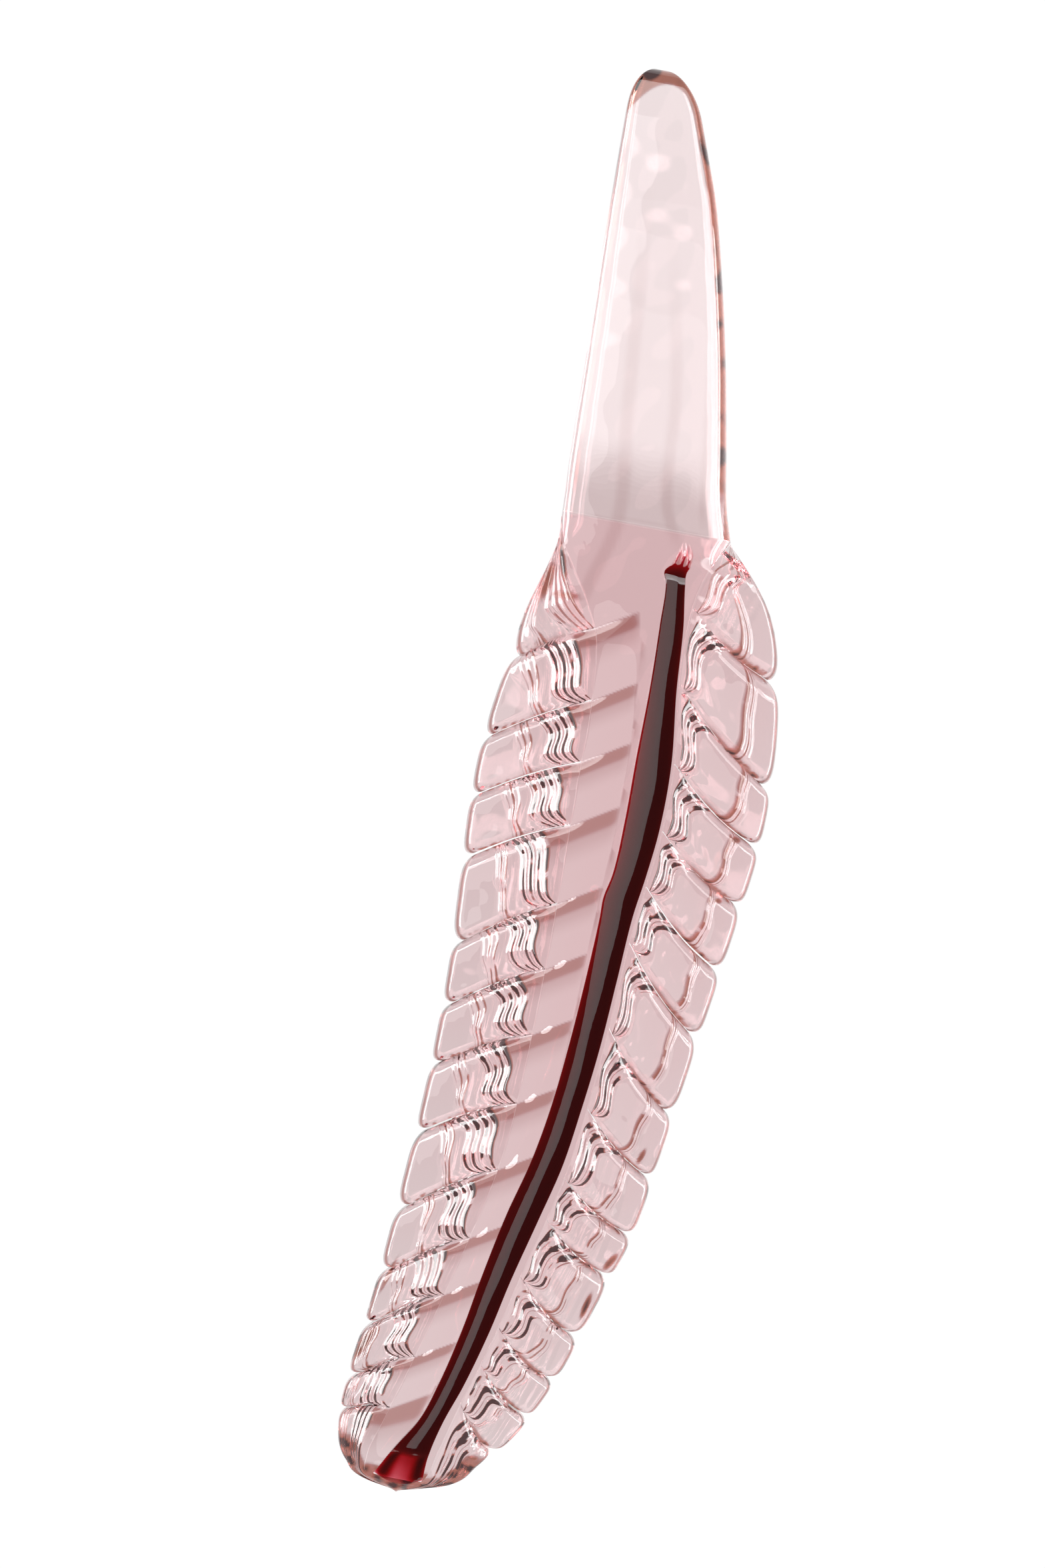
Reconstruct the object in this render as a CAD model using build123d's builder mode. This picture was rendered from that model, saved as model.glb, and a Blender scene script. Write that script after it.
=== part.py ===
"""Glass feather quill: a solid pink glass feather with a smooth, blunt stem, and a dark red trail for its shaft.

The feather lies on its flattened back. +Y runs along it towards the stem's blunt end, +X is to the right when
it is seen from above, and +Z is up. The origin is the centre of its box, on the surface that it lies on. Every
piece is glass, fused hot to its neighbours, so the pieces meet face to face and nothing moves. Millimetres.
"""

import math
import os

from build123d import *

os.makedirs("parts", exist_ok=True)

# The stem and the spine are one thick rod, oval in section, welded together where the barbs begin.
# Each oval: y, left side, right side, top. It also reaches below the surface, by what the flattening cuts off.
weld_oval = (33.5, -12.4, 8.9, 9.7)
stem_ovals = [
    weld_oval, (45, -12.8, 6.3, 9.4), (60, -13.15, 3.3, 8.7), (75, -13.45, -0.5, 7.8), (91, -13.9, -3.4, 6.6),
]
spine_ovals = [
    weld_oval, (29, -12.0, 9.0, 9.9), (18, -8.2, 7.9, 10.2), (2, -6.4, 7.8, 10.3), (-28, -5.8, 6.0, 9.7),
    (-48, -7.8, 3.6, 8.8), (-66, -12.0, -0.6, 7.6), (-80, -15.6, -5.4, 6.5), (-88, -15.6, -7.0, 5.6),
]
flattening = 1.5

# The stem's blunt end, from above, as points that a smooth line passes through, from left to right
blunt_end = [(-13.6, 80), (-13.2, 86.8), (-10.2, 90), (-6.6, 88.2), (-2.0, 80)]
trim_half_width = 20  # the stem is cut to a block with this end, wider and higher than the stem elsewhere
trim_height = 20

# The feather's outline, from the weld to the tip on each side, and the line down its middle
left_edge = [
    (-12.4, 33.5), (-12.8, 28), (-16.0, 17), (-17.3, 4), (-16.6, -20), (-17.0, -42), (-18.6, -64), (-19.7, -80),
    (-17.6, -87.6), (-10.8, -90),
]
right_edge = [
    (8.9, 33.5), (15.0, 27), (18.8, 13), (19.7, 0), (17.5, -20), (14.8, -39), (11.5, -57), (5.4, -75),
    (-3.4, -87.4), (-10.8, -90),
]
middle_line = [
    (2.0, 33.5), (3.4, 20), (4.2, 4), (3.4, -12), (2.3, -28), (0.4, -45), (-3.5, -62), (-7.9, -80), (-10.8, -90),
]

# Seams between the barbs, from the weld to the tip: the y at which each leaves the middle line, and how many
# degrees it falls towards the tip on its way out
left_seams = [
    (41.0, 25), (25.1, 27), (15.5, 28), (7.5, 26), (-0.6, 25), (-10.0, 28), (-18.4, 28), (-26.8, 26), (-36.7, 24),
    (-45.1, 28), (-53.1, 30), (-60.5, 30), (-67.6, 32), (-73.4, 33), (-99.0, 33),
]
right_seams = [
    (41.0, 31), (26.6, 31), (16.8, 37), (8.3, 35), (-1.4, 31), (-8.5, 35), (-16.3, 39), (-26.4, 41), (-36.0, 38),
    (-45.6, 32), (-50.0, 36), (-57.6, 40), (-64.6, 38), (-70.6, 36), (-76.4, 38), (-99.0, 38),
]
seam_reach = 40  # long enough to pass the outline on either side

# Barbs: each is a slab that thins outwards, with its outer corners and its back rounded
barb_root_height = 6.4  # at the middle line, inside the spine
barb_back_slope = 8.0  # degrees
barb_corner = 1.3
barb_back_round = 0.5
barb_back_round_from = 3.0  # the back is rounded only this far from the middle line, clear of the spine

# The red trail lies along the spine's back, and its lower end forks. Each oval: y, middle x, half width
trail_ovals = [
    (31.5, 2.1, 0.9), (27, 2.4, 1.4), (15, 3.7, 1.7), (2, 4.2, 2.2), (-12, 3.4, 1.9), (-28, 2.3, 1.8),
    (-45, 0.4, 2.0), (-62, -3.5, 1.7), (-80, -8.1, 1.9),
]
left_prong_ovals = [(-77, -7.9, 1.2), (-83, -11.0, 1.2), (-87.5, -14.0, 0.8)]
right_prong_ovals = [(-77, -6.7, 1.1), (-83, -8.6, 1.1), (-87.5, -8.9, 0.8)]
trail_rise = 1.4  # the trail stands this far above the spine
trail_bed = 0.8  # half of the rest of its height, which is sunk into the spine


def x_at(points, y):
    """The x at which a chain of straight lines through these points passes y, carried on past its ends."""
    for upper, lower in zip(points, points[1:]):
        if y >= lower[1]:
            break
    share = (upper[1] - y) / (upper[1] - lower[1])
    return upper[0] + share * (lower[0] - upper[0])


def crown_at(y):
    """Height of the spine's back at y."""
    return x_at([(top, station) for station, _, _, top in spine_ovals], y)


def rod_sections(ovals):
    """A rod's ovals, each on its own plane, ready to be lofted."""
    sections = []
    for y, left, right, top in ovals:
        with BuildSketch(Plane.XZ.offset(-y)) as oval:
            with Locations(((left + right) / 2, (top - flattening) / 2)):
                Ellipse((right - left) / 2, (top + flattening) / 2)
        sections.append(oval.sketch)
    return sections


def strand_sections(ovals):
    """The ovals of a strand of the red trail, half sunk into the spine's back."""
    sections = []
    for y, middle, half_width in ovals:
        with BuildSketch(Plane.XZ.offset(-y)) as oval:
            with Locations((middle, crown_at(y) - trail_bed)):
                Ellipse(half_width, trail_rise + trail_bed)
        sections.append(oval.sketch)
    return sections


def seam_ends(seam, outward):
    """Where a seam leaves the middle line, and a point on it well beyond the feather's outline."""
    y, fall = seam
    start = Vector(x_at(middle_line, y), y)
    direction = Vector(outward * math.cos(math.radians(fall)), -math.sin(math.radians(fall)))
    return start, start + direction * seam_reach


# Stem
with BuildPart() as stem:
    loft(rod_sections(stem_ovals))
    split(bisect_by=Plane.XY, keep=Keep.TOP)
    with BuildSketch():
        with BuildLine():
            Spline(*blunt_end)
            Polyline(
                blunt_end[-1],
                (trim_half_width, blunt_end[-1][1]),
                (trim_half_width, 0),
                (-trim_half_width, 0),
                (-trim_half_width, blunt_end[0][1]),
                blunt_end[0],
            )
        make_face()
    extrude(amount=trim_height, mode=Mode.INTERSECT)
stem.part.label = "stem"
export_step(stem.part, "parts/stem.step")

# Red trail
with BuildPart() as trail:
    for strand in (trail_ovals, left_prong_ovals, right_prong_ovals):
        loft(strand_sections(strand))
trail.part.label = "red_trail"
export_step(trail.part, "parts/red_trail.step")

# Spine, with the bed that the trail is sunk into
with BuildPart() as whole_spine:
    loft(rod_sections(spine_ovals))
    split(bisect_by=Plane.XY, keep=Keep.TOP)
with BuildPart() as spine:
    add(whole_spine.part)
    add(trail.part, mode=Mode.SUBTRACT)
spine.part.label = "spine"
export_step(spine.part, "parts/spine.step")

# Barbs
barb_rows = (("left", -1, left_edge, left_seams), ("right", 1, right_edge, right_seams))
for side, outward, edge, seams in barb_rows:
    for number, (above, below) in enumerate(zip(seams, seams[1:]), 1):
        inner_above, outer_above = seam_ends(above, outward)
        inner_below, outer_below = seam_ends(below, outward)
        back = Plane(
            (inner_above.X, 0, barb_root_height), z_dir=(outward * math.tan(math.radians(barb_back_slope)), 0, 1)
        )
        with BuildPart() as barb:
            with BuildSketch():
                with BuildLine():
                    Spline(*edge)
                    Polyline(edge[-1], *reversed(middle_line[:-1]), edge[0])
                make_face()
                with BuildLine():
                    Polyline(inner_above, outer_above, outer_below, inner_below, close=True)
                make_face(mode=Mode.INTERSECT)
            extrude(amount=2 * barb_root_height)
            split(bisect_by=back, keep=Keep.BOTTOM)
            outwards = Axis((0, 0, 0), (outward, 0, 0))
            fillet(barb.edges().filter_by(Axis.Z).sort_by(outwards)[-2:], barb_corner)
            rim = barb.faces().sort_by(Axis.Z)[-1].edges()
            outer_rim = [line for line in rim if abs(line.center().X - inner_above.X) > barb_back_round_from]
            fillet(outer_rim, barb_back_round)
            add(whole_spine.part, mode=Mode.SUBTRACT)
            add(trail.part, mode=Mode.SUBTRACT)
        barb.part.label = f"{side}_barb_{number:02d}"
        export_step(barb.part, f"parts/{barb.part.label}.step")
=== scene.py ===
"""The glass feather quill's looks: hot-worked pink glass with a dark red trail, on a lit white table.

Shapes are worked out in millimetres in the frame's own axes (+Y towards the stem's blunt end, +Z up), and
turned into metres when a mesh is made. Each piece of glass is a closed mesh of its own. Where two pieces are
fused, their facing walls have skin = 0, which the glass reads as "no surface here", so that they look like
one body of glass.
"""

import math
from types import SimpleNamespace

import bpy
import numpy as np
from mathutils import Matrix, Vector


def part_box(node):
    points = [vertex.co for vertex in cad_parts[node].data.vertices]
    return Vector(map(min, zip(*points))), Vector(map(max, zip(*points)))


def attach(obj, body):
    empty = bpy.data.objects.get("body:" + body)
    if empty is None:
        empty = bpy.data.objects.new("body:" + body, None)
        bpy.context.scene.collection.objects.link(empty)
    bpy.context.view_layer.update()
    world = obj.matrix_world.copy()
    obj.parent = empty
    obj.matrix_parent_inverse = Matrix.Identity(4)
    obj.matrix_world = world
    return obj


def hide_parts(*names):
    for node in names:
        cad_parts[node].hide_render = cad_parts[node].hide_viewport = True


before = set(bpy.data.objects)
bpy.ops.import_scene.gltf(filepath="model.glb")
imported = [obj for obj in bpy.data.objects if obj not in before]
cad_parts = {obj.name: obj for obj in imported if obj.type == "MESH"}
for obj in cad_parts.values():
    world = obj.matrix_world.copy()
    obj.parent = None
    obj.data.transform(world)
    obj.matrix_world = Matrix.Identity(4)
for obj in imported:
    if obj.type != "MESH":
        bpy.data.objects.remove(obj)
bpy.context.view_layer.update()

MM = 0.001
LEFT, RIGHT = -1, 1
TIP_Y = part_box("stem")[1][1] / MM  # the stem's blunt end; the feather's own end is as far the other way
WELD_Y = 33.5  # where the stem joins the feather
GAP = 0.012  # between fused walls, so that they never coincide
SAME_POINT = 1e-4  # points about this close become one
FLOOR_GAP = 0.2  # between the frame's z = 0 and the table

# ---------------------------------------- outlines from above, as (x, y) from the highest y to the lowest
STEM_LEFT = [
    (-13.6, 90), (-13.56, 80), (-13.4, 70), (-13.15, 60), (-12.9, 50), (-12.7, 40), (-12.4, 33.5),
]
STEM_RIGHT = [
    (-6.0, 90), (-4.15, 85), (-2.3, 80), (-0.5, 75), (2.15, 65), (4.4, 55), (6.3, 45), (7.7, 37.5),
    (8.9, 33.5),
]
STEM_END_X = -10.0  # where both sides of the stem meet
STEM_ROUND_FROM = 84.0  # y from which the stem's end is rounded
LEFT_EDGE = [
    (-12.4, 33.5), (-12.3, 30), (-13.0, 27), (-14.7, 21), (-15.9, 14), (-17.1, 5), (-17.3, -2),
    (-16.6, -16), (-16.2, -24), (-16.3, -38), (-17.1, -52), (-18.2, -66), (-19.5, -77),
    (-19.5, -83), (-17.8, -87.3), (-14.6, -89.4), (-10.8, -90),
]
RIGHT_EDGE = [
    (8.9, 33.5), (12.2, 30), (15.2, 26), (17.5, 20), (18.8, 13), (19.4, 5), (19.3, -3), (18.1, -13),
    (16.9, -22), (15.5, -32), (14.1, -42), (12.4, -53), (9.6, -62), (6.4, -72), (2.2, -80.5),
    (-1.3, -85), (-4.6, -88.2), (-10.8, -90),
]
SPINE_LEFT = [
    (-12.4, 33.5), (-11.6, 30), (-8.6, 25), (-5.8, 20), (-4.7, 13), (-4.5, 0), (-4.3, -20),
    (-4.6, -35), (-5.2, -45), (-6.4, -52), (-8.3, -60), (-10.3, -68), (-12.2, -75), (-14.2, -82),
    (-15.2, -86), (-14.6, -88.4), (-10.8, -90),
]
SPINE_RIGHT = [
    (8.9, 33.5), (7.0, 30), (5.9, 26), (5.5, 20), (5.9, 14), (6.9, 5), (6.9, -3), (6.2, -10),
    (5.4, -17), (4.8, -28), (4.0, -38), (3.0, -46), (1.5, -53), (-0.3, -60), (-1.9, -67),
    (-3.5, -73), (-5.3, -79), (-6.6, -84), (-8.0, -88), (-10.8, -90),
]
SPINE_EDGE = {LEFT: SPINE_LEFT, RIGHT: SPINE_RIGHT}
OUTER_EDGE = {LEFT: LEFT_EDGE, RIGHT: RIGHT_EDGE}
TRAIL_LEFT = [
    (2.7, 30.8), (2.3, 29.6), (1.3, 28.4), (1.7, 27), (1.9, 22), (2.1, 14), (2.0, 5), (2.0, -3),
    (1.7, -9.5), (1.1, -12.5), (1.1, -15), (0.8, -22), (0.2, -31), (-0.6, -39), (-1.8, -46),
    (-3.6, -53), (-5.2, -61), (-6.4, -68), (-8.0, -75), (-9.6, -80), (-12.0, -84.0), (-14.2, -88.2),
]
TRAIL_RIGHT = [
    (3.6, 30.8), (4.4, 30.0), (4.0, 28.4), (4.1, 27), (4.8, 22), (5.4, 14), (6.4, 5), (6.4, -3),
    (5.8, -9), (5.1, -14), (4.6, -22), (4.0, -31), (3.1, -39), (2.1, -46), (0.4, -53), (-1.6, -61),
    (-3.1, -68), (-5.0, -75), (-6.7, -80), (-7.7, -84.5), (-7.9, -88.2),
]
TRAIL_TOP = 30.8  # y of the trail's frayed end
TRAIL_END = -87.9  # y of its forked end

# ---------------------------------------- sections
CROWN = [
    (6.2, 90), (7.4, 80), (8.6, 60), (9.65, 33.5), (10.0, 20), (10.2, 0), (9.9, -20), (9.2, -40),
    (7.6, -66), (6.0, -84), (5.0, -90),
]  # height of the back and y
WIDEST_SHARE = 0.42  # where the stem and the spine are widest, as a share of their height
ROD_LOW = 0.12  # height of the underside along the middle of the stem and the spine
SPINE_EDGE_LOW = 0.2  # and where the barbs join the spine
BELLY_POWER = 8  # how flat the underside is: 2 would be round
BACK_POWER = {LEFT: 44, RIGHT: 18}  # how flat the stem's back is, towards each edge
END_ROUNDING = 2.0  # length of the rounding at the feather's own end

# ---------------------------------------- barbs
# Seams between the barbs: the y where each leaves the spine, and the y of its notch in the edge
LEFT_SEAMS = [
    (20.0, 15.1), (11.2, 4.9), (3.5, -2.5), (-4.4, -10.2), (-14.2, -21.0), (-22.4, -28.8),
    (-30.6, -36.3), (-39.3, -44.9), (-47.8, -54.7), (-56.8, -62.8), (-64.3, -69.7), (-72.6, -76.4),
    (-79.4, -80.8),
]
RIGHT_SEAMS = [
    (24.5, 17.6), (15.0, 4.8), (5.2, -2.6), (-3.2, -10.2), (-10.3, -18.5), (-17.5, -27.1),
    (-28.3, -37.2), (-38.5, -45.5), (-47.5, -53.0), (-53.0, -58.5), (-60.5, -66.6), (-67.2, -72.5),
    (-72.2, -77.5), (-77.5, -82.6),
]
SEAMS = {LEFT: LEFT_SEAMS, RIGHT: RIGHT_SEAMS}
SEAM_SLOPE = {LEFT: 0.62, RIGHT: -0.8}  # of the seams that are carried on over the spine
SEAM_GAP = 0.06  # half of the crack between two barbs
NO_SEAM = 9  # more than 1: put between a barb and a seam that it doesn't have
NOTCH_INSET = {LEFT: 1.3, RIGHT: 1.5}  # how far inside the edge a notch between two barbs reaches
LOBE_SAG = 0.6  # how far the middle of a lobe hangs down, beyond its notches
BARB_BOW = {LEFT: 0.45, RIGHT: -0.8}  # how far a barb bends, in y, halfway along it
BARB_TALL = {LEFT: 7.1, RIGHT: 7.5}  # height of a barb's middle strip, where the feather is thickest
BARB_LOW = 0.5  # height of a barb's underside at its outer end
BARB_WIDEST_SHARE = 0.45  # where a barb's rim stands out most, as a share of its height
SAW_HEIGHT = 0.2  # how much a barb's back rises below its upper seam, where the spine begins
BARB_SAW = 0.9  # and how much along the barb's middle strip
EVEN_BACK = 0.6  # where a barb's back has its middle height, between its seams
STEP_FALL = 0.9  # how far the back falls at a barb's outer step
LOBE_FALL = 0.35  # and along its lobe
CREASE_DEPTH = 0.9  # of the crease along a seam
WAVE_COUNT = {LEFT: (3.1, 3.9), RIGHT: (2.2, 2.8)}  # least and most waves on a shoulder
WAVE_DEPTH = {LEFT: 0.75, RIGHT: 0.8}
FARTHEST_SHARES = (0.32, 0.66, 0.78, 0.88)  # how far out each bend of a barb can be, of the barb's width

# A barb's rows of points, from the spine outwards, are in stages
ROOT, SHOULDER, STRIP, STEP, LOBE, RIM = range(6)
STAGE_ROWS = (5, 44, 8, 14, 12)  # as many as it takes to draw each stage, up to the rim
RIM_ROWS = 12
BARB_COLUMNS = 49

# ---------------------------------------- cords: painted shade and painted highlight, with the real brown glass and a few real streaks of darker glass, worked out at the mesh's points
PAINTED_HIGHLIGHT = -0.25  # the least that the shading value can be: a painted highlight, whiter than the glass
# how dark each kind of mark is: the weld line and the stem's streaks are darker glass, and all the others are
# painted shade
SEAM_BAND_SHADE = 0.45
FOLD_LINE_SHADE = 1.6
FINE_LINE_SHADE = 0.35
STEP_LINE_SHADE = 0.8
RIM_LINE_SHADE = 0.55
SEAM_LINE_SHADE = {LEFT: 0.3, RIGHT: 0.5}
SEAM_SPECK_SHADE = 0.6
WELD_CORD = 0.07
STREAK_CORD = 0.12
LEFT_RIM_SHADE = 0.3

# Faint streaks along the stem: the middle line, and the half-width
STEM_STREAKS = (
    ([(-9.3, 78), (-6.7, 47), (-5.5, 33), (-7.6, 25), (-8.5, 20)], 0.9),
    ([(-5.5, 72), (-1.2, 50), (0.3, 36), (2.5, 31), (2.6, 30)], 0.8),
    ([(1.6, 60), (3.2, 48), (4.8, 36), (5.2, 33)], 0.6),
)

# Painted shade on folds in the glass that show dark: the middle's x and y, half-width, half-length, lean, and
# how dark
PAINTED_DARK_SPOTS = (
    (-12.7, 24.8, 0.8, 2.4, 0.15, 0.75),
    (-11.2, 27.2, 0.35, 2.4, -0.3, 1.2),
    (-10.2, 23.3, 1.9, 0.5, 0.0, 0.65),
    (-18.1, -72.4, 0.6, 2.4, 0.45, 0.85),
    (-16.6, -63.5, 0.3, 2.2, 0.3, 0.6),
    (16.0, -2.6, 0.6, 0.4, 0.0, 0.8),
    (15.2, -10.4, 0.5, 0.3, 0.0, 0.7),
    (11.6, -43.3, 0.3, 1.0, 0.3, 0.8),
    (10.2, -56.9, 0.45, 1.2, 0.5, 0.8),
    (8.2, -62.8, 0.35, 1.6, 0.2, 1.0),
)


def along(points, y):
    """x at y on the smooth line through points that are listed from the highest y to the lowest."""
    xs, ys = np.array(points[::-1], float).T
    steps = np.diff(xs) / np.diff(ys)
    slopes = np.concatenate([[steps[0]], (steps[1:] + steps[:-1]) / 2, [steps[-1]]])
    y = np.clip(y, ys[0], ys[-1])
    i = np.clip(np.searchsorted(ys, y) - 1, 0, len(steps) - 1)
    run = (ys[1:] - ys[:-1])[i]
    t = (y - ys[i]) / run
    start = (2 * t**3 - 3 * t**2 + 1) * xs[i] + (t**3 - 2 * t**2 + t) * run * slopes[i]
    end = (3 * t**2 - 2 * t**3) * xs[i + 1] + (t**3 - t**2) * run * slopes[i + 1]
    return start + end


def fade(value, start, end):
    """0 at start and 1 at end, with a soft ramp between."""
    t = np.clip((value - start) / (end - start), 0, 1)
    return t * t * (3 - 2 * t)


def bell(value, middle, half_width, power=2):
    """1 at the middle, and close to 0 beyond the half-width."""
    return np.exp(-(((value - middle) / half_width) ** power))


def wander(x, y, scale, seed):
    """A gentle unevenness from -1 to 1, as hot glass has, about scale long. Each seed gives another one."""
    directions = (0.3, 1.4, 2.6, 4.0, 5.3)
    total = 0
    for k, direction in enumerate(directions):
        turn = direction + 1.7 * seed
        place = x * np.cos(turn) + y * np.sin(turn)
        total = total + np.sin(place * (4.2 + 1.4 * k) / scale + 5.1 * k + seed)
    return total / len(directions)


# ---------------------------------------- heights
def crown(y):
    """Height of the glass along the middle of the stem and the feather."""
    return along(CROWN, y)


def end_round(y):
    """1 along the feather, falling to 0 as a quarter ellipse at its tip."""
    return np.sqrt(1 - np.clip((END_ROUNDING - TIP_Y - y) / END_ROUNDING, 0, 1) ** 2)


def opening(y):
    """0 at the weld, where the section is the stem's, closed on both sides, and 1 where barbs carry it on."""
    return fade(y, WELD_Y - 0.1, WELD_Y - 4)


def below_stem(y):
    """0 beside the stem, where the barbs only start, and 1 from the first full barbs on."""
    return fade(y, 27, 21)


def saw(t):
    """A barb's back along the row of barbs: steep below one seam, and then a gentle fall to the next."""
    ridge = 0.2
    return np.where(t < ridge, np.sin(np.clip(t / ridge, 0, 1) * math.pi / 2), 1 - fade(t, ridge, 1.0))


def spine_edge_heights(y, t):
    """Top and underside of the spine where barbs join it; t is how far y is from one seam to the next."""
    middle = WIDEST_SHARE * crown(y)
    edge_share = 1 - 0.08 * fade(y, 22, 8)
    teeth = SAW_HEIGHT * below_stem(y) * (saw(t) - 0.5)
    top = middle + (edge_share * crown(y) - middle) * opening(y) + teeth
    low = middle + (SPINE_EDGE_LOW - middle) * opening(y)
    centre = (top + low) / 2
    return centre + (top - centre) * end_round(y), centre + (low - centre) * end_round(y)


def seam_phase(x, y, side):
    """How far (x, y) is from one seam to the next, from 0 to 1. Seams are carried on over the spine."""
    crossings = [
        root_y + (x - along(SPINE_EDGE[side], root_y)) * SEAM_SLOPE[side] for root_y, _ in SEAMS[side]
    ]
    ladder = np.array([np.full_like(x, WELD_Y)] + crossings + [np.full_like(x, -TIP_Y)])
    above = np.clip((ladder > y).sum(0), 1, len(ladder) - 1)
    upper = np.take_along_axis(ladder, above[None] - 1, 0)[0]
    lower = np.take_along_axis(ladder, above[None], 0)[0]
    return np.clip((upper - y) / np.maximum(upper - lower, 1e-3), 0, 1)


def across_of(x, left, right):
    """-1 on the left outline, 1 on the right one."""
    return np.clip((2 * x - left - right) / np.maximum(right - left, 1e-6), -1, 1)


def across_spine(x, y):
    """-1 on the spine's left edge, 1 on its right one."""
    return across_of(x, along(SPINE_LEFT, y), along(SPINE_RIGHT, y))


def stem_power(across):
    """How square the stem's section is: tighter on its left edge than on its right one."""
    return np.where(across < 0, BACK_POWER[LEFT], BACK_POWER[RIGHT])


def belly_curve(across):
    """1 along the middle of the underside, falling to 0 at its edges."""
    return np.maximum(1 - np.abs(across) ** BELLY_POWER, 0) ** 0.5


def back_waves(x, y):
    """The faint unevenness of the smooth back."""
    return 0.004 * wander(x, y, 9, 1.0)


def belly_waves(x, y):
    """The unevenness of the underside, which only lifts it."""
    return 0.04 * (1 + wander(x, y, 7, 2.0))


def spine_top(x, y):
    """Height of the spine's back at (x, y), without the bed of the red trail."""
    across = across_spine(x, y)
    edge_top, _ = spine_edge_heights(y, EVEN_BACK)
    beside_trail = fade(x, along(TRAIL_LEFT, y), along(SPINE_LEFT, y)) ** 2
    teeth = saw(seam_phase(x, y, LEFT)) - saw(EVEN_BACK)
    ripple = SAW_HEIGHT * below_stem(y) * teeth * beside_trail
    # the section goes from the stem's, a flat back with tight edges, to an arch that is low at its edges
    arched = fade(y, WELD_Y - 3.5, WELD_Y - 13)
    power = 2 + (stem_power(across) - 2) * (1 - arched)
    dome = np.maximum(1 - np.abs(across) ** power, 0) ** (0.5 + 1.5 * arched)
    bumps = (1 + 4 * arched) * back_waves(x, y)
    return edge_top + (crown(y) - edge_top) * dome * end_round(y) + (ripple + bumps) * end_round(y)


def spine_low(x, y):
    """Height of the spine's underside."""
    _, edge_low = spine_edge_heights(y, EVEN_BACK)
    bowl = belly_curve(across_spine(x, y))
    return edge_low + (ROD_LOW - edge_low) * bowl * end_round(y) + belly_waves(x, y) * end_round(y)


# ---------------------------------------- meshes
def grid3(x, y, z):
    """A grid of points from the grids of their coordinates."""
    return np.stack([x, y, z], -1)


def closed_mesh(name, top, low, wall_skins, top_skin=None, low_skin=None, cord_and_painted_light=None, fold=0.35):
    """A closed piece from two grids of points, its top and its underside, joined by walls all round.

    wall_skins are the skins of the walls on the first row, last row, first column and last column. The
    shading values give how dark the glass's surface is painted at each point of the top, from the painted
    highlight's value, whiter than the glass, through 0, the usual glass, to 1: painted shade and highlight,
    with some real streaks and brown glass. The underside takes only the painted highlight. fold is explained
    in mark_sharp.
    """
    rows, cols = top.shape[:2]
    count = rows * cols
    points = np.concatenate([top.reshape(-1, 3), low.reshape(-1, 3)])
    marks = np.zeros(2 * count)
    if cord_and_painted_light is not None:
        marks[:count] = np.broadcast_to(cord_and_painted_light, (rows, cols)).reshape(-1)
        marks[count:] = np.minimum(marks[:count], 0)
    index = np.arange(count).reshape(rows, cols)
    quads = np.stack([index[:-1, :-1], index[1:, :-1], index[1:, 1:], index[:-1, 1:]], -1).reshape(-1, 4)
    faces = [quads, quads[:, ::-1] + count]
    skins = [
        np.ones(len(quads)) if top_skin is None else top_skin.reshape(-1),
        np.ones(len(quads)) if low_skin is None else low_skin.reshape(-1),
    ]
    borders = [index[0, ::-1], index[-1, :], index[:, 0], index[::-1, -1]]
    for border, skin in zip(borders, wall_skins):
        p, q = border[:-1], border[1:]
        faces.append(np.stack([q, p, p + count, q + count], -1))
        skins.append(np.broadcast_to(np.asarray(skin, float), (len(p),)))
    faces = np.concatenate(faces)
    skins = np.concatenate(skins)
    # points of a rim that meet become one point, and faces without area are left out
    keys = np.round(points / SAME_POINT).astype(np.int64)
    _, first, same = np.unique(keys, axis=0, return_index=True, return_inverse=True)
    corners = [list(dict.fromkeys(face)) for face in same.reshape(-1)[faces].tolist()]
    kept = [i for i, face in enumerate(corners) if len(face) > 2]
    mesh = bpy.data.meshes.new(name)
    mesh.from_pydata((points[first] * MM).tolist(), [], [corners[i] for i in kept])
    mesh.attributes.new("skin", "FLOAT", "FACE").data.foreach_set("value", skins[kept].astype(np.float32))
    mesh.attributes.new("cord_and_painted_light", "FLOAT", "POINT").data.foreach_set("value", marks[first].astype(np.float32))
    mesh.shade_smooth()
    mark_sharp(mesh, skins[kept], fold)
    obj = bpy.data.objects.new(name, mesh)
    bpy.context.scene.collection.objects.link(obj)
    return obj


def mark_sharp(mesh, skins, fold):
    """Makes edges between skin and fused faces sharp, and folds whose angle has a cosine below fold."""
    mesh.update()
    owners = {}
    for poly in mesh.polygons:
        for key in poly.edge_keys:
            owners.setdefault(key, []).append(poly.index)
    sharp = mesh.attributes.new("sharp_edge", "BOOLEAN", "EDGE")
    for edge in mesh.edges:
        pair = owners[edge.key]
        if len(pair) == 2:
            first, second = (mesh.polygons[i] for i in pair)
            if skins[pair[0]] != skins[pair[1]] or first.normal.dot(second.normal) < fold:
                sharp.data[edge.index].value = True


# ---------------------------------------- cords
def painted_dark_spots(x, y):
    """Painted shade on the folds that show dark: 0 away from them."""
    marks = 0
    for middle_x, middle_y, half_width, half_length, lean, dark in PAINTED_DARK_SPOTS:
        off_x = (x - middle_x - lean * (y - middle_y)) / half_width
        off_y = (y - middle_y) / half_length
        marks = np.maximum(marks, dark * np.exp(-((off_x**2 + off_y**2) ** 2)))
    return marks


def brown_swirl(x, y):
    """The brown streaks in the glass at the feather's end, with dark patches between them."""
    return 0.55 + 0.45 * fade(wander(x, y, 2.5, 5.0), 0.0, 0.3)


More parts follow.
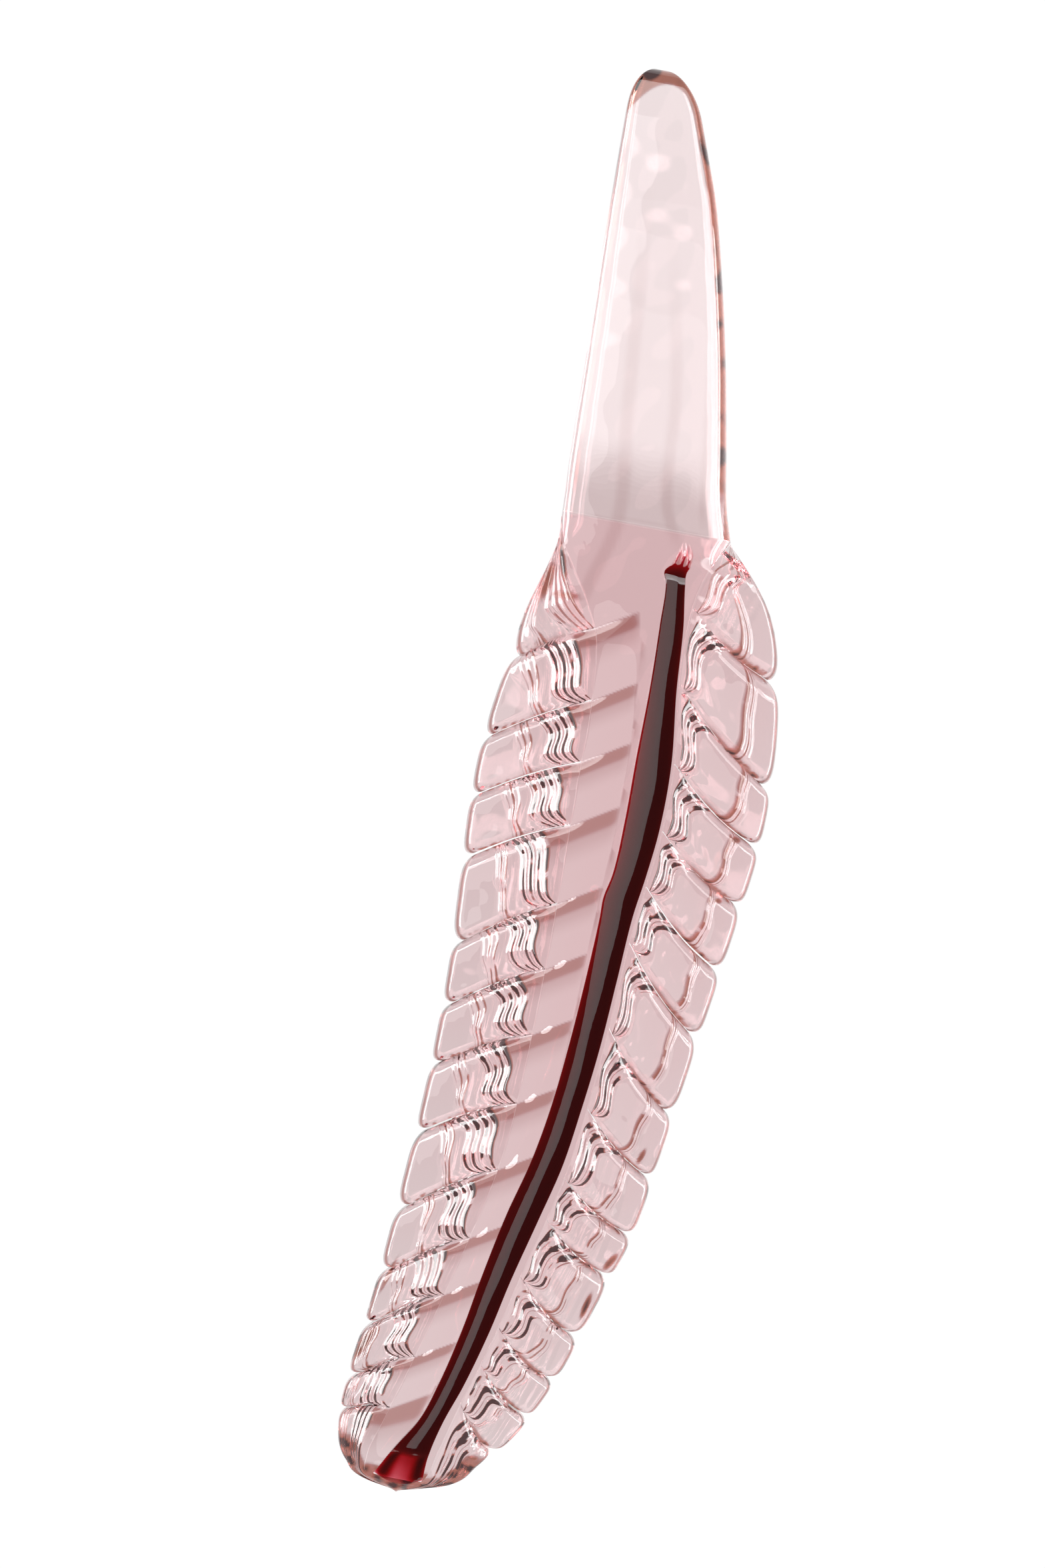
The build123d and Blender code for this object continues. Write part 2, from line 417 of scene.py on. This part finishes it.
def stem_cords(x, y):
    """Faint darker streaks along the stem, and the line of its weld, which bends a little."""
    marks = WELD_CORD * bell(y - WELD_Y - 0.35 + 0.01 * (x + 2) ** 2, 0, 0.16)
    for streak, half_width in STEM_STREAKS:
        start, end = streak[0][1], streak[-1][1]
        inside = fade(y, start, start - 25) * fade(y, end, end + 5)
        marks = marks + STREAK_CORD * inside * bell(x, along(streak, y), half_width, 4)
    return marks


def painted_rim_shade(x, y, across, from_edge):
    """Painted shade: brown along the stem's right edge and round its blunt end, and a little on its left
    edge, where the view passes slantwise through the rounded glass.
    """
    swirl = 0.6 + 0.4 * fade(wander(x, y, 5, 4.0), 0.05, 0.4)
    on_right = fade(from_edge, 1.3, 1.1) * (across > 0) * fade(y, 34, 42) * swirl
    on_left = LEFT_RIM_SHADE * fade(from_edge, 0.5, 0.2) * (across < 0) * fade(y, 55, 75)
    round_end = fade(y + 0.2 * (x + 8.7) ** 2, 87.6, 88.2) * swirl
    return np.maximum(np.maximum(on_right, on_left), round_end)


def band_shade(phase):
    """The painted shade below each seam: sharp along the seam, and soft below."""
    return fade(phase, 0.0, 0.04) * (0.55 * fade(phase, 0.28, 0.16) + 0.45 * fade(phase, 0.6, 0.2))


def painted_seam_shade(x, y):
    """Painted shade: darker bands just below each seam, like the shadows of the grooves, which cross the
    spine from the barbs towards the red trail.
    """
    across = across_spine(x, y)
    phase = np.where(across < 0, seam_phase(x, y, LEFT), seam_phase(x, y, RIGHT))
    return SEAM_BAND_SHADE * band_shade(phase) * fade(across, 0.2, -0.2) * opening(y) * below_stem(y)


# ---------------------------------------- stem and spine
def make_stem():
    """The smooth stem: a flat-backed rod with a blunt round end."""
    reach = TIP_Y - STEM_ROUND_FROM
    turn = np.linspace(0, math.pi / 2, 40)
    straight = np.arange(WELD_Y + GAP, STEM_ROUND_FROM, 0.4)
    ys = np.concatenate([straight, STEM_ROUND_FROM + reach * np.sin(turn)])
    to_end = np.clip((ys - STEM_ROUND_FROM) / reach, 0, 1)
    blunt = np.sqrt(1 - to_end**2.6)
    thick = np.sqrt(1 - to_end**8)[:, None]
    left = STEM_END_X + (along(STEM_LEFT, ys) - STEM_END_X) * blunt
    right = STEM_END_X + (along(STEM_RIGHT, ys) - STEM_END_X) * blunt
    half_width = (right - left)[:, None] / 2
    across = np.sin(np.linspace(-math.pi / 2, math.pi / 2, 81))[None]
    x = (left + right)[:, None] / 2 + half_width * across
    y = np.repeat(ys[:, None], x.shape[1], 1)

    middle = WIDEST_SHARE * crown(y)
    dome = np.sqrt(np.maximum(1 - np.abs(across) ** stem_power(across), 0))
    bowl = belly_curve(across)
    top = middle + (crown(y) - middle) * dome * thick + back_waves(x, y) * thick * dome
    low = middle + (ROD_LOW - middle) * bowl * thick + belly_waves(x, y) * thick * bowl
    # painted shade along the rims, with the stem's real streaks and weld line
    cord_and_painted_light = stem_cords(x, y) + painted_rim_shade(x, y, across, half_width * (1 - np.abs(across)))
    tops, lows = grid3(x, y, top)[::-1], grid3(x, y, low)[::-1]
    return closed_mesh("stem_glass", tops, lows, (1, 0, 1, 1), cord_and_painted_light=cord_and_painted_light[::-1])


def make_spine():
    """The spine: one column of glass under the red trail, with a bed for it."""
    turn = np.linspace(0, math.pi / 2, 24)
    straight = np.arange(WELD_Y - GAP, END_ROUNDING - TIP_Y, -0.25)
    ys = np.concatenate([straight, END_ROUNDING * (1 - np.sin(turn)) - TIP_Y])
    left, right = along(SPINE_LEFT, ys) + GAP, along(SPINE_RIGHT, ys) - GAP
    right = np.maximum(right, left + 1e-4)
    bed_left = np.clip(along(TRAIL_LEFT, ys), left, right)
    bed_right = np.clip(along(TRAIL_RIGHT, ys), left, right)
    # columns are closer together where the spine meets the barbs
    opening_share = 1 - np.cos(np.linspace(0, math.pi / 2, 41))
    closing_share = np.sin(np.linspace(0, math.pi / 2, 15))
    x = np.concatenate(
        [
            left[:, None] + (bed_left - left)[:, None] * opening_share[:-1],
            bed_left[:, None] + (bed_right - bed_left)[:, None] * np.linspace(0, 1, 13)[:-1],
            bed_right[:, None] + (right - bed_right)[:, None] * closing_share,
        ],
        1,
    )
    y = np.repeat(ys[:, None], x.shape[1], 1)
    depth = bed_depth(x, y)
    in_bed = (depth[:-1, :-1] + depth[1:, 1:] + depth[:-1, 1:] + depth[1:, :-1]) > 1e-6
    brown = fade(y, -86.5, -87.5) * brown_swirl(x, y)
    # painted shade below the seams, with the real streaks and the brown glass at the end
    cord_and_painted_light = painted_seam_shade(x, y) + stem_cords(x, y) + brown
    return closed_mesh(
        "spine_glass", grid3(x, y, spine_top(x, y) - depth), grid3(x, y, spine_low(x, y)), (0, 1, 0, 0),
        top_skin=1 - in_bed.astype(float), cord_and_painted_light=cord_and_painted_light,
    )


# ---------------------------------------- red trail
def trail_body(y):
    """1 along the red trail, 0 beyond its ends."""
    return fade(y, TRAIL_TOP, TRAIL_TOP - 3.5) * fade(y, TRAIL_END, TRAIL_END + 0.8)


def bed_depth(x, y):
    """How deep the red trail is sunk at (x, y)."""
    across = across_of(x, along(TRAIL_LEFT, y), along(TRAIL_RIGHT, y))
    prongs = bell(np.abs(across), 0.75, 0.25)
    sunk = 0.55 * (1 - across**6) * trail_body(y)
    return sunk * (1 - fork(y) * (0.85 - 2.6 * prongs))


def fork(y):
    """0 along the trail, 1 at its lower end, where it thins between two prongs."""
    return fade(y, -83.8, -85.2)


def trail_creases(y):
    """Where, across the trail, the middle one of its three facets starts and ends."""
    further_down = fade(y, -12, -34)
    start = -0.9 + 0.46 * further_down
    end = 0.22 + 0.03 * np.sin(0.7 * y) + 0.05 * np.sin(0.31 * y + 1) - 0.04 * further_down
    return start, end


def trail_rise(across, y):
    """How far the trail stands above the spine: three facets, of which the middle one leans left."""
    half_width = (along(TRAIL_RIGHT, y) - along(TRAIL_LEFT, y)) / 2
    start, end = trail_creases(y)
    ridge = 1.25 + 0.02 * np.sin(y * 0.23 + 1)
    slope = 0.15
    beside_facet = np.maximum(start - across, 0) - np.maximum(across - end, 0)
    profile = ridge + slope * half_width * (np.clip(across, start, end) - end + beside_facet)
    return profile * (1 - fork(y) * (0.6 + 0.25 * fade(y, -85, -87.5))) * trail_body(y)


def make_trail():
    """The red trail, frayed at its upper end and forked at its lower end."""
    ys = np.arange(TRAIL_TOP - 0.05, TRAIL_END + 0.05, -0.25)
    start, end = (crease[:, None] for crease in trail_creases(ys))
    share = np.linspace(0, 1, 15)[None]
    left_facet = -1 + (start + 1) * share[:, :-1]
    middle_facet = start + (end - start) * share[:, :-1]
    right_facet = end + (1 - end) * share
    across = np.concatenate([left_facet, middle_facet, right_facet], 1)
    left, right = along(TRAIL_LEFT, ys)[:, None], along(TRAIL_RIGHT, ys)[:, None]
    x = (left + right) / 2 + (right - left) / 2 * across
    y = np.repeat(ys[:, None], x.shape[1], 1)
    fray = 1.5 * np.abs(np.sin(4.2 * across + 0.6)) * np.sqrt(np.clip((y - 29.3) / 1.5, 0, 1))
    notch = 0.9 * np.cos(math.pi / 2 * across) * fade(y, -86, TRAIL_END)
    end_y = y + (fray - notch)
    base = spine_top(x, y) + GAP
    level = spine_top((left + right) / 2, ys[:, None]) + GAP
    thinnest = 0.04
    top = base + (level - base) * trail_body(y) + trail_rise(across, y) + thinnest
    return closed_mesh(
        "red_trail_glass", grid3(x, end_y, top), grid3(x, end_y, base - bed_depth(x, y)), (1, 1, 1, 1),
        low_skin=np.zeros((x.shape[0] - 1, x.shape[1] - 1)), fold=0.93,
    )


# ---------------------------------------- barbs
def barb_bends(side, t, width, rng):
    """How far from the spine a barb's shoulder and outer step start and end, at t between its seams."""
    # far is 1 at the seam above and falls from there, near is 0 nearly down to the seam below
    far = (1 - t) ** 1.7
    near = t**7
    swing = np.sin(2 * math.pi * (t - rng.uniform(0.45, 0.6)))
    if side == LEFT:
        bends = [
            1.5 + 2.4 * far - 1.4 * near + 0.45 * swing,
            5.0 + 3.0 * far - 2.4 * near + 0.6 * swing,
            8.6 - 2.0 * t + 0.3 * swing,
            10.2 - 2.6 * t,
        ]
    else:
        bends = [
            0.3 + 1.2 * (1 - t) ** 5 + 0.3 * (1 + swing) * t,
            3.2 + 3.6 * (1 - t) ** 4 - 2.4 * near + 0.4 * swing,
            width - 4.6 - rng.uniform(-0.3, 1.2) * t,
            width - 3.6 - rng.uniform(0, 1.2) * t,
        ]
    shift = rng.uniform(-0.3, 0.3, len(bends))
    sway = 0.15 * np.sin(2 * math.pi * (1.7 * t + rng.uniform()))
    placed = []
    nearest = 0.04
    for bend, extra, share in zip(bends, shift, FARTHEST_SHARES):
        distance = np.minimum(bend + (extra + sway) * (1 - near), width * share)
        nearest = np.maximum(distance, nearest + 0.06 * width * share)
        placed.append(nearest)
    return placed


def barb_rows(width, bends):
    """Rows of points that follow the shoulder and the outer step, close together where the back is steep.

    Gives each row's distances from the spine, its stage, and its share of the way through that stage.
    """
    rim = np.minimum(1.0, 0.1 * width)
    knots = [np.minimum(GAP, 0.02 * width)] + bends + [width - rim]
    rows, stages, shares = [], [], []
    for stage, count in enumerate(STAGE_ROWS):
        for step in range(count):
            rows.append(knots[stage] + (knots[stage + 1] - knots[stage]) * step / count)
            stages.append(stage)
            shares.append(step / count)
    for angle in np.linspace(0, math.pi / 2, RIM_ROWS):
        rows.append(width - rim + rim * np.sin(angle))
        stages.append(RIM)
        shares.append(np.sin(angle))
    return np.array(rows), np.array(stages)[:, None], np.array(shares)[:, None]


def barb_plan(side, upper, lower, rng):
    """A barb seen from above, between its upper and lower seams: its grid of points and their stages."""
    first, last = upper[1] >= WELD_Y, lower[1] <= -TIP_Y
    even = np.linspace(0, 1, BARB_COLUMNS)
    t = even - 0.1 * np.sin(2 * math.pi * even)  # closer together near the seams
    lobe = np.maximum(1 - np.abs(2 * t - 1) ** rng.uniform(4, 6), 0) ** 0.6
    if first:
        lobe = np.where(t < 0.5, 1, lobe)
    if last:
        lobe = np.where(t > 0.5, 1, lobe)
    root_y = upper[0] + (lower[0] - upper[0]) * t
    root_x = along(SPINE_EDGE[side], root_y)
    edge_y = upper[1] + (lower[1] - upper[1]) * t
    inset = NOTCH_INSET[side] * rng.uniform(0.85, 1.15) * (1 - lobe)
    edge_x = along(OUTER_EDGE[side], edge_y) - side * inset
    if not (first or last):
        edge_y = edge_y - LOBE_SAG * lobe
    width = np.maximum(np.hypot(edge_x - root_x, edge_y - root_y), 1e-3)
    distance, stage, share = barb_rows(width, barb_bends(side, t, width, rng))

    out = distance / width
    # barbs that are narrower than 8 bend less
    bow = BARB_BOW[side] * np.sin(math.pi * out) * np.minimum(width / 8, 1)
    crack = np.where(first & (t < 0.1), 0, 1 - 2 * t) * SEAM_GAP
    x = root_x + (edge_x - root_x) * out
    y = root_y + (edge_y - root_y) * out + bow - crack
    pitch = np.abs(upper[0] - lower[0])
    from_seam = np.minimum(t + (NO_SEAM if first else 0), 1 - t + (NO_SEAM if last else 0)) * pitch
    return SimpleNamespace(
        side=side, first=first, last=last, t=t, root_y=root_y, width=width, distance=distance, stage=stage,
        share=share, out=out, x=x, y=y, from_seam=from_seam,
    )


def terraces(p, count, depth, start):
    """A fall from 0 to 1 in waves: with depth over 1, there are ridges between its steps."""
    turn = 2 * math.pi * count
    wave = np.sin(turn * p + start) - np.sin(start) * (1 - p) - np.sin(turn + start) * p
    return p + depth * wave * np.sin(math.pi * p) ** 0.5 / turn


def barb_back(plan, root_top, waves, wave_start):
    """Height of a barb's back: root, shoulder, middle strip, outer step, lobe and rim."""
    size = crown(plan.root_y) / crown(0)
    level = np.minimum(root_top, BARB_TALL[plan.side] * size + BARB_SAW * size * (saw(plan.t) - 0.5))
    outer = level - STEP_FALL * size
    shoulder_fall = terraces(plan.share, waves, WAVE_DEPTH[plan.side], wave_start)
    step_fall = terraces(plan.share, 2, 1.2, 0.0)
    back = np.choose(
        plan.stage,
        [
            root_top,
            root_top + (level - root_top) * shoulder_fall,
            level,
            level + (outer - level) * step_fall,
            outer - LOBE_FALL * size * fade(plan.share, 0, 1.2),
            outer - LOBE_FALL * size * fade(1, 0, 1.2),
        ],
    )
    crease = bell(plan.from_seam, 0, 0.5) * fade(plan.out, 0.0, 0.5)
    creased = back - CREASE_DEPTH * size * crease * end_round(plan.root_y)
    return creased + 0.05 * wander(plan.x, plan.y, 4, 3.0)


def barb_belly(plan, root_top, root_low):
    """Height of a barb's underside, with faint waves below the shoulder."""
    belly = root_low + (BARB_LOW - root_low) * plan.out**2 * opening(plan.root_y)
    wavy = fade(plan.distance, 0.5, 1.5) * fade(plan.distance, 9, 6)
    belly = belly + 0.12 * (1 + np.sin(2 * math.pi * plan.distance / 1.3)) * wavy
    return np.minimum(belly, root_top * 0.6)


def barb_heights(plan, waves, wave_start):
    """Top and underside of a barb, which meet in a round rim, and thin out at the feather's own end."""
    root_top, root_low = spine_edge_heights(plan.root_y, plan.t if plan.side == LEFT else EVEN_BACK)
    back = barb_back(plan, root_top, waves, wave_start)
    belly = barb_belly(plan, root_top, root_low)
    middle = belly + (back - belly) * BARB_WIDEST_SHARE
    rim_share = np.where(plan.stage == RIM, plan.share, 0)
    thick = np.sqrt(1 - rim_share**2)
    top = middle + (back - middle) * thick
    low = middle + (belly - middle) * thick
    if plan.last:
        joint = root_low + (root_top - root_low) * BARB_WIDEST_SHARE
        top = joint + (top - joint) * end_round(plan.root_y)
        low = joint + (low - joint) * end_round(plan.root_y)
    return top, low


def painted_fold_shade(plan, number, waves, wave_start):
    """Painted shade: dark lines along the waves of the shoulder and along the outer step, broken here and
    there, where the steep glass shows dark.
    """
    x, y, share = plan.x, plan.y, plan.share
    on_shoulder, on_step = plan.stage == SHOULDER, plan.stage == STEP
    riser = np.cos(2 * math.pi * waves * share + wave_start)
    below_seam = fade(plan.t, 0.32, 0.18) * fade(plan.t, 0.02, 0.06)
    narrow = 0.45 - 0.9 * below_seam * fade(wander(x, y, 2.0, 3.0 + number), -0.3, 0.3)
    broken = fade(wander(x, y, 3.0, 6.0 + number), -0.5, -0.1)
    lines = fade(riser, narrow, narrow + 0.25) * broken * on_shoulder
    fine = FINE_LINE_SHADE * fade(np.cos(4 * math.pi * waves * share), 0.65, 0.9) * broken * on_shoulder
    step_lines = STEP_LINE_SHADE * fade(np.cos(4 * math.pi * share), 0.5, 0.85) * broken * on_step
    faded = 0.45 if plan.first else 1
    return FOLD_LINE_SHADE * np.maximum(lines, fine) * faded + step_lines


def barb_painted_light_and_brown(plan, number, waves, wave_start):
    """How dark or light a barb's surface is painted at each of its points: painted shade, painted highlight,
    and the real brown glass at the feather's end.
    """
    x, y, stage, share = plan.x, plan.y, plan.stage, plan.share
    on_left = plan.side == LEFT
    # painted shade below the upper seam
    seam_band_shade = SEAM_BAND_SHADE * band_shade(plan.t) * opening(plan.root_y) * on_left * (stage == ROOT)
    brown = fade(plan.width - plan.distance, 2.8, 2.2) * fade(y, -83.2, -84.5) * brown_swirl(x, y)
    # painted highlight: the shoulders are painted white where the side panels' reflection falls on them; the
    # left lobes are painted a little whiter as well
    whitened = PAINTED_HIGHLIGHT * (stage == SHOULDER) * fade(share, 0, 0.1) * fade(share, 1, 0.9)
    whitened = whitened + 0.4 * PAINTED_HIGHLIGHT * on_left * (stage == LOBE) * fade(share, 0, 0.3)
    # painted shade: a dark line just inside the round rim
    rim_shade_line = RIM_LINE_SHADE * bell(share, 0.6, 0.2) * (stage == RIM)
    # painted shade along the seams, with dark specks near the notches
    specks = SEAM_SPECK_SHADE * fade(wander(x, y, 1.1, 2.0 + number), 0.0, 0.4) * fade(plan.out, 0.6, 0.8)
    along_seam = bell(plan.from_seam, 0, 0.3) * fade(plan.out, 0.25, 0.5) * (stage != RIM)
    seam_shade_line = (SEAM_LINE_SHADE[plan.side] + specks) * along_seam
    # painted shade along the folds of the shoulder and the outer step
    fold_shade = painted_fold_shade(plan, number, waves, wave_start)
    return np.maximum(seam_band_shade + brown + whitened + fold_shade + rim_shade_line + seam_shade_line, painted_dark_spots(x, y))


def make_barb(side, number, upper, lower, rng):
    """One barb: a lobe of glass from the spine to the feather's edge, between two seams."""
    plan = barb_plan(side, upper, lower, rng)
    waves = rng.uniform(*WAVE_COUNT[side])
    wave_start = rng.uniform(-0.5, 0.5)
    top, low = barb_heights(plan, waves, wave_start)
    # painted shade and highlight, and the real brown glass at the end
    cord_and_painted_light = barb_painted_light_and_brown(plan, number, waves, wave_start)
    tops, lows = grid3(plan.x, plan.y, top), grid3(plan.x, plan.y, low)
    if side == RIGHT:
        tops, lows, cord_and_painted_light = tops[:, ::-1], lows[:, ::-1], cord_and_painted_light[:, ::-1]
    name = f"{'left' if side == LEFT else 'right'}_barb_{number:02d}"
    barb = closed_mesh(name + "_glass", tops, lows, (0, 1, 1, 1), cord_and_painted_light=cord_and_painted_light)
    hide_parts(name)
    return barb


# ---------------------------------------- materials
def glass(name, absorption, unevenness, ramp_colors=()):
    """Glass that takes up light as it passes: absorption is per millimetre for red, green and blue.

    The colour pairs give colours for values of the attribute that carries the painted shade, the painted
    highlight and the real streaks, from the painted highlight's value to 1. unevenness is how strong the
    surface's faint waves are.
    """
    mat = bpy.data.materials.new(name)
    mat.use_nodes = True
    nodes, links = mat.node_tree.nodes, mat.node_tree.links
    shader = nodes["Principled BSDF"]
    shader.inputs["Transmission Weight"].default_value = 1
    shader.inputs["IOR"].default_value = 1.5
    shader.inputs["Roughness"].default_value = 0.0

    skin = nodes.new("ShaderNodeAttribute")
    skin.attribute_name = "skin"
    links.new(skin.outputs["Fac"], shader.inputs["Alpha"])

    # the base colour paints shade and highlight on the glass, and its real streaks and brown
    if ramp_colors:
        cord_and_painted_light = nodes.new("ShaderNodeAttribute")
        cord_and_painted_light.attribute_name = "cord_and_painted_light"
        spread = nodes.new("ShaderNodeMapRange")
        spread.inputs["From Min"].default_value = PAINTED_HIGHLIGHT
        tint = nodes.new("ShaderNodeValToRGB")
        stops = tint.color_ramp.elements
        for value, _ in ramp_colors[1:-1]:
            stops.new((value - PAINTED_HIGHLIGHT) / (1 - PAINTED_HIGHLIGHT))
        for stop, (_, color) in zip(stops, ramp_colors):
            stop.color = (*color, 1)
        links.new(cord_and_painted_light.outputs["Fac"], spread.inputs["Value"])
        links.new(spread.outputs["Result"], tint.inputs["Fac"])
        links.new(tint.outputs["Color"], shader.inputs["Base Color"])
    else:
        shader.inputs["Base Color"].default_value = (1, 1, 1, 1)

    place = nodes.new("ShaderNodeTexCoord")
    waves = nodes.new("ShaderNodeTexNoise")
    waves.inputs["Scale"].default_value = 260  # per metre
    waves.inputs["Detail"].default_value = 2
    bump = nodes.new("ShaderNodeBump")
    bump.inputs["Strength"].default_value = unevenness
    bump.inputs["Distance"].default_value = 0.1 * MM
    links.new(place.outputs["Object"], waves.inputs["Vector"])
    links.new(waves.outputs["Fac"], bump.inputs["Height"])
    links.new(bump.outputs["Normal"], shader.inputs["Normal"])

    # a little over the strongest absorption, so that each part of the colour stays above 0
    density = max(absorption) * 1.1 / MM
    volume = nodes.new("ShaderNodeVolumeAbsorption")
    volume.inputs["Density"].default_value = density
    volume.inputs["Color"].default_value = (*[1 - part / MM / density for part in absorption], 1)
    links.new(volume.outputs["Volume"], nodes["Material Output"].inputs["Volume"])
    return mat


def finish_piece(obj, material):
    """Gives a piece its glass, and ties it to the frame's body."""
    obj.data.materials.append(material)
    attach(obj, "root")


# ---------------------------------------- camera, table, light
def make_camera():
    """Looks straight down, turned so that the quill leans to the right."""
    roll = math.radians(10.352)
    look_x, look_y, look_z = -11.17, -0.52, 4  # the point in the middle of the picture
    height_seen = 194.9  # from the picture's top to its bottom, at that point's height
    data = bpy.data.cameras.new("camera")
    data.lens = 100
    data.sensor_fit = "VERTICAL"
    data.sensor_height = 36
    distance = height_seen / data.sensor_height * data.lens
    camera = bpy.data.objects.new("camera", data)
    bpy.context.scene.collection.objects.link(camera)
    right = Vector((math.cos(roll), math.sin(roll), 0))
    up = Vector((-math.sin(roll), math.cos(roll), 0))
    turn = Matrix((right, up, right.cross(up))).transposed()
    place = Vector((look_x, look_y, distance + look_z)) * MM
    camera.matrix_world = Matrix.Translation(place) @ turn.to_4x4()
    bpy.context.scene.camera = camera


def make_floor():
    """A white table, lit from within around the quill and greyer further off."""
    mat = bpy.data.materials.new("lit_table")
    mat.use_nodes = True
    nodes, links = mat.node_tree.nodes, mat.node_tree.links
    nodes.remove(nodes["Principled BSDF"])
    place = nodes.new("ShaderNodeNewGeometry")
    reach = nodes.new("ShaderNodeVectorMath")
    reach.operation = "LENGTH"
    ramp = nodes.new("ShaderNodeMapRange")
    ramp.interpolation_type = "SMOOTHSTEP"
    ramp.inputs["From Min"].default_value = 0.2
    ramp.inputs["From Max"].default_value = 0.9
    ramp.inputs["To Min"].default_value = 1.03
    ramp.inputs["To Max"].default_value = 0.5
    glow = nodes.new("ShaderNodeEmission")
    links.new(place.outputs["Position"], reach.inputs[0])
    links.new(reach.outputs["Value"], ramp.inputs["Value"])
    links.new(ramp.outputs["Result"], glow.inputs["Strength"])
    links.new(glow.outputs["Emission"], nodes["Material Output"].inputs["Surface"])
    bpy.ops.mesh.primitive_plane_add(size=8, location=(0, 0, -FLOOR_GAP * MM))
    floor = bpy.context.object
    floor.name = "table"
    floor.data.materials.append(mat)


def make_panel(name, place, size, radiance, aim=(0, 0, 0)):
    """A soft panel of light at a place, that faces the aim. Both are in metres, and so is its size."""
    data = bpy.data.lights.new(name, "AREA")
    data.shape = "RECTANGLE"
    data.size, data.size_y = size
    data.energy = radiance * math.pi * data.size * data.size_y
    panel = bpy.data.objects.new(name, data)
    bpy.context.scene.collection.objects.link(panel)
    panel.location = place
    panel.rotation_euler = (Vector(aim) - Vector(place)).to_track_quat("-Z", "Y").to_euler()
    panel.visible_camera = False


def make_lights():
    """Strips over the stem, a dim panel high on the left, and brighter ones lower down at the sides."""
    # narrow strips where the light over the stem begins, and wider ones beyond, in metres
    strip_edges = np.concatenate([np.arange(0.15, 0.18, 0.002), np.arange(0.18, 0.35, 0.03), [0.73]])
    for strip, (near, far) in enumerate(zip(strip_edges, strip_edges[1:])):
        y = float(near + far) / 2
        radiance = 7.0 * float(fade(y, 0.15, 0.178) * (1 - 0.3 * fade(y, 0.21, 0.32)))
        make_panel(f"over_stem_{strip}", (0, y, 0.85), (1.4, float(far - near)), radiance, aim=(0, y, 0))
    for name, place, size, radiance in (
        ("high_left", (-0.34, 0, 0.73), (0.9, 0.74), 1.6),
        ("middle_left", (-0.525, 0, 0.604), (0.9, 0.25), 11.0),
        ("middle_right", (0.525, 0, 0.604), (0.9, 0.22), 8.0),
        ("low_left", (-0.78, 0, 0.32), (0.9, 0.50), 16.0),
        ("low_right", (0.78, 0, 0.30), (0.9, 0.42), 16.0),
    ):
        make_panel(name, place, size, radiance)
    world = bpy.data.worlds.new("studio")
    bpy.context.scene.world = world
    world.use_nodes = True
    background = world.node_tree.nodes["Background"]
    background.inputs["Color"].default_value = (0.5, 0.5, 0.51, 1)
    background.inputs["Strength"].default_value = 0.2


# ---------------------------------------- the scene
make_camera()
make_floor()
make_lights()

# Colours of the glass's surface for each value: white for the painted highlight, usual, brown, dark brown,
# nearly black; the darker ones paint shade and also colour the real brown glass and streaks
PINK_RAMP = (
    (PAINTED_HIGHLIGHT, (1.0, 1.0, 1.0)),
    (0.0, (0.74, 0.69, 0.69)),
    (0.35, (0.30, 0.13, 0.12)),
    (0.6, (0.22, 0.05, 0.03)),
    (1.0, (0.012, 0.006, 0.006)),
)
pink = glass("pink_glass", (0.008, 0.042, 0.039), 0.06, PINK_RAMP)
pale = glass("pale_pink_glass", (0.012, 0.030, 0.029), 0.015, PINK_RAMP)
red = glass("red_glass", (1.7, 8.0, 7.0), 0.015)

spine_piece = make_spine()
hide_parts("spine")
finish_piece(spine_piece, pink)
stem_piece = make_stem()
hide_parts("stem")
finish_piece(stem_piece, pale)
trail_piece = make_trail()
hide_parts("red_trail")
finish_piece(trail_piece, red)
rng = np.random.default_rng(7)
for side in (LEFT, RIGHT):
    ends = [(WELD_Y, WELD_Y)] + SEAMS[side] + [(-TIP_Y, -TIP_Y)]
    for number, (upper, lower) in enumerate(zip(ends, ends[1:]), 1):
        finish_piece(make_barb(side, number, upper, lower, rng), pink)

scene = bpy.context.scene
scene.view_settings.view_transform = "Standard"
scene.cycles.max_bounces = 24
scene.cycles.transmission_bounces = 24
scene.cycles.transparent_max_bounces = 48
